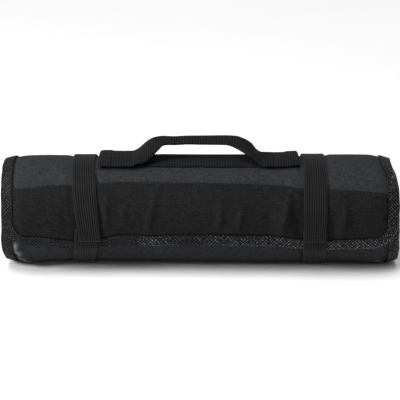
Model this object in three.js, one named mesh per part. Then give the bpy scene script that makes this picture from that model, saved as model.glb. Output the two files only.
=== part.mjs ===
// A tool roll, rolled up and held shut by two straps, with a carrying handle on top.
// Millimetres and degrees. +X runs along the roll, the front faces -Y and +Z is up.
// A place on the cloth is given as a run, the distance from its free edge, and x.
// Angles go round the roll from the top towards the front.

import * as THREE from 'three';

// The roll
const rollLength = 355;        // end to end, over the binding
const rollDepth = 97;          // front to back, of the outermost lap
const rollHeight = 94.5;         // bottom to top, of the outermost lap
const outlinePower = 2.2;      // 2 is an ellipse, more is boxier
const flatShare = 0.96;        // share of the half height where the bottom is flat
const flatBlend = 0.025;       // share of the half height over which it goes flat

// The cloth that is rolled up
const clothRun = 575;
const clothThickness = 2.2;
const cornerRadius = 22;
const flapAngle = 108;         // where the free edge comes to lie
const lapClearance = 0.5;      // least room between two laps, over their binding
const lapSag = 1.0;            // how far each lap hangs below the lap around it
const coreTurn = 1.45;         // turns from the free edge to where the core curls in
const coreCurl = 3.5;            // how fast it curls in
const dentTurn = 0.06;         // turns from the free edge to the middle of the dents
const dentSpread = 0.075;
const flatTurns = 0.05;        // turns from the middle of the flat bottom to its edge, at most

// The panel on the front, the binding round the cloth and the webbing
const seamRun = 58.5;          // from the free edge to the seam at the panel's top
const panelThickness = 1.0;
const tapeThickness = 1.2;
const tapeWidth = 10;
const layGap = 0.5;            // room between two pieces that lie on each other
const strapWidth = 21;
const strapThickness = 1.5;
const strapRoot = 94;          // the angle where a strap is sewn on
const strapEnd = 466;          // the angle where its other end comes to lie over the root
const strapClimb = 26;         // how many degrees it takes to climb onto the root

// The handle, flat at its ends and folded double to a grip in between
const handleLength = 0.5155 * rollLength;
const handleShift = -1;
const handleWidth = 44;
const handleForward = 2;       // how far it sits in front of the top
const handleSlant = { left: 2.4, right: -1 }; // how much further forward its ends lie
const strapBeside = 2;         // room between the handle's ends and the straps
const baseWidth = 39;
const baseThickness = 1.3;
const handleThickness = 1.6;
const gripWidth = 18;
const gripThickness = 5.6;
const gripRise = 16.6;         // from the cloth on top up to the middle of the grip

const steps = { lap: 24, corner: 8, strapSide: 2, webbing: 6 };

// Sections of the roll from left to right. Each along is a share of the cloth's half length,
// swell a share of the size, drop a share of the height, and dent a share of the depth.
// Slip is how many degrees the cloth has slid down at the front. Narrow is a share of the
// panel's width, by which it is narrower there.
const sections = [
  { along: -1.000, swell: -0.060, drop: 0.000, slip: -4.6, dent: 0.000, narrow: 0.154 },
  { along: -0.940, swell: -0.030, drop: 0.004, slip: -4.6, dent: 0.000, narrow: 0.156 },
  { along: -0.905, swell: 0.000, drop: 0.008, slip: -4.6, dent: 0.000, narrow: 0.150 },
  { along: -0.865, swell: 0.020, drop: 0.012, slip: -4.6, dent: 0.000, narrow: 0.138 },
  { along: -0.780, swell: 0.020, drop: 0.012, slip: -1.6, dent: -0.003, narrow: 0.081 },
  { along: -0.725, swell: 0.006, drop: 0.004, slip: 0.6, dent: 0.002, narrow: 0.046 },
  { along: -0.660, swell: -0.054, drop: -0.028, slip: 6.4, dent: 0.010, narrow: -0.007 },
  { along: -0.505, swell: -0.050, drop: -0.028, slip: 6.2, dent: 0.010, narrow: -0.031 },
  { along: -0.430, swell: -0.006, drop: -0.002, slip: 2.4, dent: 0.000, narrow: -0.010 },
  { along: -0.250, swell: 0.000, drop: 0.000, slip: 2.8, dent: -0.003, narrow: -0.016 },
  { along: -0.120, swell: 0.000, drop: 0.000, slip: 2.0, dent: 0.002, narrow: -0.005 },
  { along: 0.000, swell: 0.000, drop: 0.000, slip: 1.4, dent: 0.000, narrow: 0.013 },
  { along: 0.200, swell: 0.000, drop: 0.000, slip: 1.3, dent: -0.003, narrow: 0.026 },
  { along: 0.330, swell: -0.002, drop: 0.000, slip: 1.9, dent: 0.004, narrow: 0.028 },
  { along: 0.430, swell: -0.006, drop: -0.002, slip: 2.6, dent: -0.006, narrow: 0.033 },
  { along: 0.505, swell: -0.050, drop: -0.028, slip: 7.0, dent: 0.014, narrow: 0.019 },
  { along: 0.655, swell: -0.054, drop: -0.028, slip: 7.0, dent: 0.010, narrow: 0.054 },
  { along: 0.725, swell: 0.006, drop: 0.004, slip: 4.8, dent: -0.004, narrow: 0.072 },
  { along: 0.780, swell: 0.020, drop: 0.012, slip: 3.8, dent: 0.000, narrow: 0.094 },
  { along: 0.865, swell: 0.020, drop: 0.012, slip: 1.2, dent: 0.002, narrow: 0.149 },
  { along: 0.905, swell: 0.000, drop: 0.008, slip: 1.0, dent: 0.000, narrow: 0.167 },
  { along: 0.940, swell: -0.030, drop: 0.004, slip: 1.0, dent: 0.000, narrow: 0.178 },
  { along: 1.000, swell: -0.060, drop: 0.000, slip: 1.4, dent: 0.000, narrow: 0.175 },
];

// How far each strap strays from its place, in strap widths to the right, by turns from its root
const drift = {
  left: [
    { turn: 0.00, shift: 0.14 },
    { turn: 0.14, shift: -0.09 },
    { turn: 0.80, shift: -0.09 },
    { turn: 0.92, shift: 0.06 },
    { turn: 1.04, shift: 0.28 },
  ],
  right: [
    { turn: 0.00, shift: -0.04 },
    { turn: 0.20, shift: 0.02 },
    { turn: 0.80, shift: 0.00 },
    { turn: 1.04, shift: -0.06 },
  ],
};

// The handle from left to right: along is a share of its half length, lift a share of the grip's
// rise, fold is 0 where the webbing is flat and 1 where it is folded to the grip, and droop is how
// far its front edge hangs down.
const handleSections = [
  { along: -1.00, lift: 0.00, fold: 0.00, droop: 0.0 },
  { along: -0.66, lift: 0.00, fold: 0.00, droop: 0.0 },
  { along: -0.61, lift: 0.14, fold: 0.05, droop: 0.5 },
  { along: -0.56, lift: 0.51, fold: 0.14, droop: 6.5 },
  { along: -0.51, lift: 0.83, fold: 0.27, droop: 8.9 },
  { along: -0.46, lift: 1.02, fold: 0.44, droop: 8.0 },
  { along: -0.41, lift: 1.08, fold: 0.66, droop: 5.2 },
  { along: -0.36, lift: 1.06, fold: 0.88, droop: 1.0 },
  { along: -0.30, lift: 1.04, fold: 1.00, droop: 0.0 },
  { along: -0.12, lift: 1.09, fold: 1.00, droop: 0.0 },
  { along: 0.00, lift: 1.11, fold: 1.00, droop: 0.0 },
  { along: 0.29, lift: 1.14, fold: 1.00, droop: 0.0 },
  { along: 0.34, lift: 1.11, fold: 0.96, droop: 1.2 },
  { along: 0.39, lift: 1.00, fold: 0.84, droop: 1.9 },
  { along: 0.44, lift: 0.82, fold: 0.66, droop: 1.7 },
  { along: 0.49, lift: 0.59, fold: 0.46, droop: 1.1 },
  { along: 0.54, lift: 0.31, fold: 0.26, droop: 0.4 },
  { along: 0.58, lift: 0.05, fold: 0.10, droop: 0.0 },
  { along: 0.63, lift: 0.00, fold: 0.00, droop: 0.0 },
  { along: 1.00, lift: 0.00, fold: 0.00, droop: 0.0 },
];

// What follows from those sizes
const halfCloth = rollLength / 2 - layGap - tapeThickness;
const strapPlace = (handleLength + strapWidth) / 2 + strapBeside; // to the middle of a strap
const onCloth = clothThickness / 2 + layGap;          // from the cloth's middle to what lies on it
const tapeTop = onCloth + tapeThickness;
const panelTop = onCloth + panelThickness;
const bindingStack = 2 * tapeTop;
const lapPitch = (bindingStack + lapClearance + lapSag) / flatShare;
const flapTuck = lapPitch - bindingStack - lapClearance
  - lapSag * Math.abs(Math.cos(THREE.MathUtils.degToRad(flapAngle)));
const tuckTurns = 0.2;
const marchSteps = 900;        // to a turn
const keptShare = 0.78;        // share of the half length where rows keep the sections' places

/** The value of a named column of a table at a place along it, straight between its rows. */
function columnAt(table, key, place, column) {
  const last = table.length - 1;
  const after = table.findIndex((row) => row[key] >= place);
  if (after === 0) return table[0][column];
  if (after < 0) return table[last][column];
  const [low, high] = [table[after - 1], table[after]];
  const share = (place - low[key]) / (high[key] - low[key]);
  return THREE.MathUtils.lerp(low[column], high[column], share);
}

/** The shape of the roll's section at x. */
function shapeAt(x) {
  const along = x / halfCloth;
  const shape = {};
  for (const column of ['swell', 'drop', 'slip', 'dent', 'narrow']) {
    shape[column] = columnAt(sections, 'along', along, column);
  }
  return shape;
}

/** Laps passed at an angle, counted from the bottom and held still where the bottom is flat. */
function lapsAt(angle) {
  const turns = (-angle - 180) / 360;
  const whole = Math.floor(turns);
  return whole + THREE.MathUtils.smoothstep(turns - whole, flatTurns, 1 - flatTurns);
}

/** How far the cloth's middle lies inside the outline, after some turns from the free edge. */
function insetAt(turn, laps) {
  const tuck = flapTuck * (1 - THREE.MathUtils.smoothstep(turn, 0, tuckTurns));
  const curl = coreCurl * Math.max(0, turn - coreTurn) ** 2;
  return clothThickness / 2 + lapPitch * (laps + 0.25) + tuck + curl;
}

/** Where the dents of the front show: 1 at their middle, on each lap. */
function dentShare(turn) {
  const away = turn - dentTurn - Math.round(turn - dentTurn);
  return Math.exp(-((away / dentSpread) ** 2));
}

/** A sine or cosine pushed outwards, so that a circle becomes the roll's boxier outline. */
function boxed(value) {
  return Math.sign(value) * Math.abs(value) ** (2 / outlinePower);
}

/** The height of the outline as a share of the half height, with the bottom eased to a flat. */
function outlineHeight(cosine) {
  const deep = Math.min(-cosine, flatShare + flatBlend) - (flatShare - flatBlend);
  return deep < 0 ? cosine : deep * deep / (4 * flatBlend) - deep - (flatShare - flatBlend);
}

/** A point of the cloth's middle line in a section of the roll, as y and z from its centre. */
function middlePoint(turn, shape) {
  const angle = flapAngle + shape.slip - 360 * turn;
  const [sine, cosine] = [Math.sin, Math.cos].map((f) => boxed(f(THREE.MathUtils.degToRad(angle))));
  const laps = lapsAt(angle);
  const inset = insetAt(turn, laps);
  const halfDepth = rollDepth / 2 * (1 + shape.swell) - inset;
  const halfHeight = rollHeight / 2 * (1 + shape.swell) - inset;
  const dent = shape.dent * rollDepth * dentShare(turn);
  const z = halfHeight * outlineHeight(cosine) - shape.drop * rollHeight - lapSag * laps;
  return new THREE.Vector2(dent - halfDepth * sine, z);
}

/** The same point moved outwards, square to the cloth. */
function raisedPoint(turn, shape, rise) {
  const step = 0.002;
  const ahead = middlePoint(turn + step, shape).sub(middlePoint(turn - step, shape));
  const outward = new THREE.Vector2(-ahead.y, ahead.x).normalize();
  return middlePoint(turn, shape).addScaledVector(outward, rise);
}

// How far the cloth has run after each bit of a turn, at the middle of the roll and a little on.
const march = (() => {
  const shape = shapeAt(0);
  const rows = [{ run: 0, turn: 0 }];
  let before = middlePoint(0, shape);
  while (rows[rows.length - 1].run < clothRun + tapeWidth) {
    const turn = rows.length / marchSteps;
    const here = middlePoint(turn, shape);
    rows.push({ run: rows[rows.length - 1].run + here.distanceTo(before), turn });
    before = here;
  }
  return rows;
})();

/** The turns after which the cloth has run a distance from its free edge. */
function turnAtRun(run) {
  return run < 0 ? run * march[1].turn / march[1].run : columnAt(march, 'run', run, 'turn');
}

/** A point at a place on the cloth, raised outwards from its middle. */
function clothPoint(run, x, rise) {
  const p = raisedPoint(turnAtRun(run), shapeAt(x), rise);
  return new THREE.Vector3(x, p.x, p.y);
}

/** How much a rounded corner takes off a side, at a distance from the end. */
function cornerCut(distance, radius) {
  const left = Math.max(0, radius - distance);
  return radius - Math.sqrt(radius * radius - left * left);
}

/** Distances from an end where a rounded corner gets its points. */
function cornerPlaces(radius) {
  const places = [];
  for (let i = 0; i <= steps.corner; i++) {
    places.push(radius * (1 - Math.cos(Math.PI / 2 * i / steps.corner)));
  }
  return places;
}

/** The runs at which the cloth has rows of points. */
function clothRuns() {
  const corner = cornerPlaces(cornerRadius);
  const between = clothRun - 2 * cornerRadius;
  const lapRun = Math.PI * rollHeight;
  const count = Math.round(between / (lapRun / steps.lap));
  const runs = [...corner];
  for (let i = 1; i < count; i++) runs.push(cornerRadius + between * i / count);
  return [...runs, ...corner.reverse().map((place) => clothRun - place)];
}

const runs = clothRuns();

/** Where a row of points across the cloth lies, given its half length and that of the piece. */
function rowXs(half, pieceHalf) {
  const kept = keptShare * halfCloth;
  const inside = sections.map((row) => row.along * halfCloth).filter((x) => Math.abs(x) < pieceHalf);
  return [-pieceHalf, ...inside, pieceHalf].map((x) => {
    const beyond = Math.max(0, Math.abs(x) - kept) / (pieceHalf - kept);
    return Math.sign(x) * (Math.min(Math.abs(x), kept) + beyond * (half - kept));
  });
}

/** A mesh geometry with its faces pointing out, from points and triangles. */
function solidGeometry(points, triangles) {
  let volume = 0;
  for (const [a, b, c] of triangles) {
    volume += points[a].dot(points[b].clone().cross(points[c]));
  }
  const index = triangles.flatMap(([a, b, c]) => (volume < 0 ? [a, c, b] : [a, b, c]));
  const geometry = new THREE.BufferGeometry().setFromPoints(points);
  geometry.setIndex(index);
  geometry.computeVertexNormals();
  return geometry;
}

/** A slab between two grids of points, each a list of rows of one length. */
function slabGeometry(upper, lower) {
  const [rowCount, columnCount] = [upper.length, upper[0].length];
  const under = rowCount * columnCount;
  const at = (i, j) => i * columnCount + j;
  const triangles = [];
  const quad = (a, b, c, d) => triangles.push([a, b, c], [a, c, d]);
  for (let i = 0; i + 1 < rowCount; i++) {
    for (let j = 0; j + 1 < columnCount; j++) {
      quad(at(i, j), at(i, j + 1), at(i + 1, j + 1), at(i + 1, j));
      quad(under + at(i, j), under + at(i + 1, j), under + at(i + 1, j + 1), under + at(i, j + 1));
    }
  }
  for (let i = 0; i + 1 < rowCount; i++) {
    const [first, last] = [at(i, 0), at(i, columnCount - 1)];
    quad(first, first + columnCount, under + first + columnCount, under + first);
    quad(last, under + last, under + last + columnCount, last + columnCount);
  }
  for (let j = 0; j + 1 < columnCount; j++) {
    const [first, last] = [at(0, j), at(rowCount - 1, j)];
    quad(first, under + first, under + first + 1, first + 1);
    quad(last, last + 1, under + last + 1, under + last);
  }
  return solidGeometry([...upper.flat(), ...lower.flat()], triangles);
}

/** A closed sweep through rings of points of one length, back to the first ring. */
function loopGeometry(rings) {
  const size = rings[0].length;
  const triangles = [];
  rings.forEach((ring, i) => {
    const [here, next] = [i * size, (i + 1) % rings.length * size];
    ring.forEach((point, j) => {
      const other = (j + 1) % size;
      triangles.push([here + j, next + j, next + other], [here + j, next + other, here + other]);
    });
  });
  return solidGeometry(rings.flat(), triangles);
}

/** The whole rolled-up cloth, one slab with four rounded corners. */
function clothGeometry() {
  const side = (rise) => runs.map((run) => {
    const end = Math.min(run, clothRun - run);
    const half = halfCloth - cornerCut(end, cornerRadius);
    return rowXs(half, halfCloth).map((x) => clothPoint(run, x, rise));
  });
  return slabGeometry(side(clothThickness / 2), side(-clothThickness / 2));
}

/** The panel on the front, from the binding at the free edge up to the seam. */
function panelGeometry() {
  const inset = tapeWidth + layGap;
  const radius = cornerRadius - inset;
  const low = [...cornerPlaces(radius).map((place) => place + inset), ...runs]
    .filter((run, i) => i <= steps.corner || (run > cornerRadius && run < seamRun * 0.75));
  const last = low[low.length - 1];
  const row = (half, runAt, rise) => (
    rowXs(half, halfCloth - inset).map((x) => clothPoint(runAt(x), x, rise))
  );
  const side = (rise) => [
    ...low.map((run) => row(halfCloth - inset - cornerCut(run - inset, radius), () => run, rise)),
    ...[0.5, 1].map((share) => row(
      halfCloth - inset,
      (x) => THREE.MathUtils.lerp(last, seamRun * (1 - shapeAt(x).narrow), share),
      rise,
    )),
  ];
  return slabGeometry(side(panelTop), side(onCloth));
}

/** Places round the edge of the flat cloth, each with the way inwards: free edge, right, core, left. */
function edgePlaces() {
  const straight = halfCloth - cornerRadius;
  const inner = clothRun - cornerRadius;
  const places = [];
  const corner = (run, x, from) => {
    for (let i = 1; i < steps.corner; i++) {
      const angle = THREE.MathUtils.degToRad(from + 90 * i / steps.corner);
      const [toRun, toX] = [-Math.cos(angle), Math.sin(angle)];
      places.push({ run: run + cornerRadius * toRun, x: x + cornerRadius * toX, inRun: -toRun, inX: -toX });
    }
  };
  const across = rowXs(straight, halfCloth);
  const sides = runs.filter((run) => run >= cornerRadius && run <= inner);
  across.forEach((x) => places.push({ run: 0, x, inRun: 1, inX: 0 }));
  corner(cornerRadius, straight, 0);
  sides.forEach((run) => places.push({ run, x: halfCloth, inRun: 0, inX: -1 }));
  corner(inner, straight, 90);
  across.reverse().forEach((x) => places.push({ run: clothRun, x, inRun: -1, inX: 0 }));
  corner(inner, -straight, 180);
  sides.reverse().forEach((run) => places.push({ run, x: -halfCloth, inRun: 0, inX: 1 }));
  corner(cornerRadius, -straight, 270);
  return places;
}

/** The binding: a tape folded over the edge of the cloth, all the way round. */
function bindingGeometry() {
  const outer = -layGap - tapeThickness;
  const profile = [
    [tapeWidth, tapeTop], [tapeWidth / 2, tapeTop], [outer, tapeTop], [outer, -tapeTop],
    [tapeWidth, -tapeTop], [tapeWidth, -onCloth], [-layGap, -onCloth], [-layGap, onCloth],
    [tapeWidth / 2, onCloth], [tapeWidth, onCloth],
  ];
  return loopGeometry(edgePlaces().map((place) => profile.map(([inward, rise]) => (
    clothPoint(place.run + place.inRun * inward, place.x + place.inX * inward, rise)
  ))));
}

/** The section of the roll at x as points of its outermost faces, the binding and panel with it. */
function facePoints(x) {
  const points = [];
  const add = (run, rise) => {
    const p = clothPoint(run, x, rise);
    points.push(new THREE.Vector2(p.y, p.z));
  };
  const lapRuns = runs.filter((run) => turnAtRun(run) < 1.1);
  lapRuns.forEach((run) => add(run, clothThickness / 2));
  lapRuns.filter((run) => run < seamRun).forEach((run) => add(run, panelTop));
  add(seamRun, panelTop);
  [-layGap - tapeThickness, tapeWidth / 2, tapeWidth].forEach((run) => add(run, tapeTop));
  return points;
}

/** The taut loop round a set of points: their convex hull, counted from the front over the top. */
function tautLoop(points) {
  const sorted = [...points].sort((p, q) => p.x - q.x || p.y - q.y);
  const half = (list) => {
    const chain = [];
    for (const p of list) {
      while (chain.length > 1) {
        const [a, b] = chain.slice(-2);
        if ((b.x - a.x) * (p.y - a.y) - (b.y - a.y) * (p.x - a.x) > 0) break;
        chain.pop();
      }
      chain.push(p);
    }
    return chain.slice(0, -1);
  };
  return [...half(sorted), ...half(sorted.reverse())];
}

/** The angle round the roll of a point of a section, from the top towards the front. */
function angleOf(point, centre) {
  const angle = THREE.MathUtils.radToDeg(Math.atan2(centre.x - point.x, point.y - centre.y));
  return THREE.MathUtils.euclideanModulo(angle, 360);
}

/** The way of a strap round the roll, from its root down the front and back over the root. */
function strapWay(middleX) {
  const widest = strapWidth / 2 * 1.6;
  const xs = [-widest, -widest / 2, 0, widest / 2, widest].map((away) => middleX + away);
  const loop = tautLoop(xs.flatMap(facePoints));
  const centre = loop.reduce((sum, p) => sum.add(p), new THREE.Vector2()).divideScalar(loop.length);
  const count = loop.length;
  const onLoop = loop.map((point, i) => {
    const along = loop[(i + 1) % count].clone().sub(loop[(i + count - 1) % count]);
    const outward = new THREE.Vector2(along.y, -along.x).normalize();
    return { point, angle: angleOf(point, centre), outward };
  }).sort((p, q) => p.angle - q.angle);
  const turns = [-1, 0, 1, 2].flatMap((turn) => (
    onLoop.map((place) => ({ ...place, angle: place.angle + 360 * turn }))
  ));
  const cut = (angle) => {
    const next = turns.findIndex((place) => place.angle >= angle);
    const [low, high] = [turns[next - 1], turns[next]];
    const share = (angle - low.angle) / (high.angle - low.angle);
    const outward = low.outward.clone().lerp(high.outward, share).normalize();
    return { point: low.point.clone().lerp(high.point, share), outward, angle };
  };
  const between = turns.filter((place) => place.angle > strapRoot + 1 && place.angle < strapEnd - 1);
  return [cut(strapRoot), ...between, cut(strapEnd)];
}

/** A strap: webbing round the whole roll, whose end lies over its own root. */
function strapGeometry(middleX, side) {
  const way = strapWay(middleX);
  const climbEnd = 360 + strapRoot - 6;
  const face = (height) => way.map(({ point, outward, angle }) => {
    const climb = THREE.MathUtils.smoothstep(angle, climbEnd - strapClimb, climbEnd);
    const off = layGap + height + climb * (strapThickness + layGap);
    const shift = columnAt(drift[side], 'turn', (angle - strapRoot) / 360, 'shift') * strapWidth;
    const p = point.clone().addScaledVector(outward, off);
    const across = [];
    for (let i = 0; i <= steps.strapSide; i++) {
      const x = middleX + shift + strapWidth * (i / steps.strapSide - 0.5);
      across.push(new THREE.Vector3(x, p.x, p.y));
    }
    return across;
  });
  return slabGeometry(face(strapThickness), face(0));
}

/** The run at which the cloth comes to the top of the roll at x. */
function topRun(x) {
  return columnAt(march, 'turn', (flapAngle + shapeAt(x).slip) / 360, 'run');
}

/** Places along the handle, which has rows of points where the roll has its sections too. */
function handleXs(places) {
  const half = handleLength / 2;
  const own = places.map((along) => handleShift + along * half);
  const under = sections.map((row) => row.along * halfCloth)
    .filter((x) => own.every((other) => Math.abs(other - x) > 3) && Math.abs(x - handleShift) < half);
  return [...own, ...under].sort((a, b) => a - b);
}

/** Shares of the webbing's half width where the handle and its base have points. */
const webbingShares = Array.from({ length: steps.webbing + 1 }, (_, i) => 2 * i / steps.webbing - 1);

/** A point at the top of the roll, some way to the back of the handle's middle line. */
function toppedPoint(x, back, rise) {
  return clothPoint(topRun(x) - handleForward + back, x, rise);
}

/** The flat strip of webbing that the handle is sewn to. */
function baseGeometry() {
  const side = (rise) => handleXs([-1, 1]).map((x) => (
    webbingShares.map((share) => toppedPoint(x, share * baseWidth / 2, rise))
  ));
  return slabGeometry(side(onCloth + baseThickness), side(onCloth));
}

/** The handle: its ends lie on the base, and in between it rises and folds to the grip. */
function gripGeometry() {
  const lying = onCloth + baseThickness + layGap;
  const side = (isUpper) => handleXs(handleSections.map((row) => row.along)).map((x) => {
    const along = (x - handleShift) / (handleLength / 2);
    const lift = columnAt(handleSections, 'along', along, 'lift');
    const fold = columnAt(handleSections, 'along', along, 'fold');
    const droop = columnAt(handleSections, 'along', along, 'droop');
    const ahead = THREE.MathUtils.lerp(handleSlant.left, handleSlant.right, (along + 1) / 2);
    const top = toppedPoint(x, 0, 0);
    const height = clothThickness / 2 + gripRise - lying - handleThickness / 2;
    return webbingShares.map((share) => {
      const rise = isUpper ? lying + handleThickness : lying;
      const flat = toppedPoint(x, share * handleWidth / 2 - ahead, rise);
      const bulge = gripThickness / 2 * Math.sqrt(1 - 0.75 * share * share);
      const middle = lying + handleThickness / 2;
      const level = top.z + middle + (isUpper ? bulge : -bulge);
      const folded = new THREE.Vector3(x, top.y + share * gripWidth / 2, level);
      const hang = droop * share * share * (share < 0 ? 1 : 0.25);
      return flat.lerp(folded, fold).add(new THREE.Vector3(0, 0, lift * height - hang));
    });
  });
  return slabGeometry(side(true), side(false));
}

const greyCloth = { color: 0x3b3d40, roughness: 0.92, metalness: 0 };
const blackCloth = { color: 0x222224, roughness: 0.9, metalness: 0 };
const blackTape = { color: 0x2c2c2e, roughness: 0.85, metalness: 0 };
const blackWebbing = { color: 0x252527, roughness: 0.8, metalness: 0 };

/** A named mesh of one piece. */
function piece(name, geometry, finish) {
  const mesh = new THREE.Mesh(geometry, new THREE.MeshStandardMaterial(finish));
  mesh.name = name;
  return mesh;
}

const toolRoll = new THREE.Group();
toolRoll.add(
  piece('cloth', clothGeometry(), greyCloth),
  piece('front_panel', panelGeometry(), blackCloth),
  piece('binding', bindingGeometry(), blackTape),
  piece('strap_left', strapGeometry(-strapPlace, 'left'), blackWebbing),
  piece('strap_right', strapGeometry(strapPlace, 'right'), blackWebbing),
  piece('handle_base', baseGeometry(), blackWebbing),
  piece('handle', gripGeometry(), blackWebbing),
);

// The origin is under the middle of the roll, on the surface that it stands on.
const extent = new THREE.Box3().setFromObject(toolRoll, true);
const middle = extent.getCenter(new THREE.Vector3());
toolRoll.position.set(-middle.x, -middle.y, -extent.min.z);

export default toolRoll;
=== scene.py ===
# A tool roll, rolled up and strapped shut, on a pale floor.
# Angles are in degrees, and sizes in millimetres up to mesh_object(), which turns them to metres.
# A place on the cloth is given as a run, the distance from the flap's edge, and x along the roll.
# Rise is the height over the cloth's middle. Angles go round the roll from the top to the front.
import math

import bpy
import numpy as np
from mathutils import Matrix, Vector


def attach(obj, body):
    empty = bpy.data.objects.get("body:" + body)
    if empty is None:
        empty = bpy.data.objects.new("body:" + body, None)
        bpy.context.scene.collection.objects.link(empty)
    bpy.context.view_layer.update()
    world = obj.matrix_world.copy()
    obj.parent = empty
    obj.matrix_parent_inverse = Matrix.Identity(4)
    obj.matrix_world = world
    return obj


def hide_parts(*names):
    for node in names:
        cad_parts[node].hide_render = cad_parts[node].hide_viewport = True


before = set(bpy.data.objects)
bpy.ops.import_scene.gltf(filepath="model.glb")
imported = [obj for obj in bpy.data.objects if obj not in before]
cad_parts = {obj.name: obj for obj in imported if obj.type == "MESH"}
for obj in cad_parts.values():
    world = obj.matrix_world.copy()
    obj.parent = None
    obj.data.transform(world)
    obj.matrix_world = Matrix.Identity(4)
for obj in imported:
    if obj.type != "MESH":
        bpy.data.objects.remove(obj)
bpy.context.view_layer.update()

MM = 0.001  # a millimetre in metres

# -------- sizes
# They are the solids' sizes. Only the tape, the seam, the grip, the roll's centre, the sections
# and the handle's table were fitted to the photo more finely here.
ROLL_LENGTH = 355.0
ROLL_DEPTH = 97.0
ROLL_HEIGHT = 94.5
OUTLINE_POWER = 2.2
FLAT_SHARE = 0.96
FLAT_BLEND = 0.025
CLOTH_RUN = 575.0
CLOTH = 2.2
CORNER = 22.0
FLAP_ANGLE = 108.0
LAP_CLEARANCE = 0.5
LAP_SAG = 1.0
CORE_TURN = 1.45  # the turn after which the core curls in more tightly
CORE_CURL = 3.5
FLAT_TURNS = 0.05
SEAM_RUN = 56.8
PANEL = 1.0
TAPE = 1.2
TAPE_WIDTH = 9.0
GAP = 0.5
HANDLE_LENGTH = 0.5155 * ROLL_LENGTH
STRAP_WIDTH = 21.0
STRAP = 1.5
STRAP_RIB = 2.1  # from rib to rib of its webbing
STRAP_PLACE = (HANDLE_LENGTH + STRAP_WIDTH) / 2 + 2
STRAP_ROOT = 94.0
STRAP_END = 466.0
STRAP_CLIMB = 26.0
HANDLE_SHIFT = -1.0
HANDLE_WIDTH = 44.0
HANDLE_FORWARD = 2.0
HANDLE_SLANT = (2.4, -1.0)  # how much further forward its left and right ends lie
BASE_WIDTH = 39.0
BASE = 1.3
HANDLE = 1.6
GRIP_WIDTH = 18.0
GRIP = 5.6
GRIP_RISE = 17.5
ROLL_CENTRE = (0.0, 3.84, 46.22)  # where the middle of the roll lies in the frame

HALF_CLOTH = ROLL_LENGTH / 2 - GAP - TAPE
ON_CLOTH = CLOTH / 2 + GAP
TAPE_TOP = ON_CLOTH + TAPE
PANEL_TOP = ON_CLOTH + PANEL
LAP_PITCH = (2 * TAPE_TOP + LAP_CLEARANCE + LAP_SAG) / FLAT_SHARE
FLAP_TUCK = (LAP_PITCH - 2 * TAPE_TOP - LAP_CLEARANCE
             - LAP_SAG * abs(math.cos(math.radians(FLAP_ANGLE))))
TUCK_TURNS = 0.2
EDGE_INSET = TAPE_WIDTH + GAP  # from the cloth's edge in to the panel

# Sections from left to right: along, swell, drop, slip, dent and narrow. Along is a share of half
# the cloth, slip is in degrees, and the rest are shares of the roll's or the seam's own size.
SECTIONS = np.array([
    (-1.0, -0.052, 0.0, -2.6, 0.0, 0.1),
    (-0.94, 0.002, 0.002, -2.6, 0.0, 0.107),
    (-0.905, 0.039, 0.009, -2.6, 0.0, 0.119),
    (-0.865, 0.033, 0.004, -2.6, 0.0, 0.115),
    (-0.78, 0.018, -0.007, -1.1, -0.003, 0.06),
    (-0.725, 0.014, -0.009, 1.0, 0.002, 0.031),
    (-0.66, 0.015, -0.009, 3.4, 0.01, -0.012),
    (-0.505, 0.015, -0.009, 2.7, 0.01, -0.031),
    (-0.43, 0.014, -0.005, -2.0, 0.0, 0.004),
    (-0.25, 0.009, 0.001, -1.6, -0.003, -0.002),
    (-0.12, 0.0105, 0.002, -2.4, 0.002, 0.009),
    (0.0, 0.0145, 0.004, -3.0, 0.0, 0.027),
    (0.2, 0.0195, 0.0063, -3.1, -0.003, 0.04),
    (0.33, 0.021, 0.009, -2.5, 0.004, 0.042),
    (0.43, 0.021, 0.008, -1.9, -0.006, 0.047),
    (0.505, 0.025, 0.003, 1.6, 0.014, 0.05),
    (0.655, 0.035, -0.002, 3.5, 0.01, 0.054),
    (0.725, 0.039, -0.001, 1.3, -0.004, 0.102),
    (0.78, 0.044, 0.001, 1.4, 0.0, 0.104),
    (0.865, 0.045, 0.005, -0.5, 0.002, 0.145),
    (0.905, 0.05, 0.007, -0.7, 0.0, 0.16),
    (0.94, 0.018, 0.006, -0.7, 0.0, 0.17),
    (1.0, -0.045, 0.006, -0.3, 0.0, 0.167),
])
COLUMNS = ("swell", "drop", "slip", "dent", "narrow")
DENT_TURN, DENT_SPREAD = 0.06, 0.075  # where the front is dented, and how far, in turns


def smoothstep(value, low, high):
    t = np.clip((value - low) / (high - low), 0, 1)
    return t * t * (3 - 2 * t)


def bell(reach, spread):
    """The weights of a bell curve, which add up to 1."""
    kernel = np.exp(-0.5 * (np.arange(-reach, reach + 1) / spread) ** 2)
    return kernel / kernel.sum()


def smooth_table(places, values, step, spread):
    """A table's columns on a fine even grid, with its corners rounded off."""
    fine = np.arange(places[0], places[-1] + step / 2, step)
    reach = int(4 * spread / step)
    kernel = bell(reach, spread / step)
    out = []
    for column in values.T:
        line = np.interp(fine, places, column)
        slope0, slope1 = line[1] - line[0], line[-1] - line[-2]
        ahead = line[0] - slope0 * np.arange(reach, 0, -1)
        after = line[-1] + slope1 * np.arange(1, reach + 1)
        out.append(np.convolve(np.concatenate([ahead, line, after]), kernel, mode="valid"))
    return fine, np.array(out)


def length_so_far(line):
    """How long a line of points is up to each of them."""
    return np.concatenate([[0], np.cumsum(np.linalg.norm(np.diff(line, axis=0), axis=1))])


SHAPE_X, SHAPE_VALUES = smooth_table(SECTIONS[:, 0] * HALF_CLOTH, SECTIONS[:, 1:], 0.5, 2.6)


def shape_at(x, column):
    """A column of the sections at a place along the roll."""
    return np.interp(x, SHAPE_X, SHAPE_VALUES[COLUMNS.index(column)])


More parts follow.
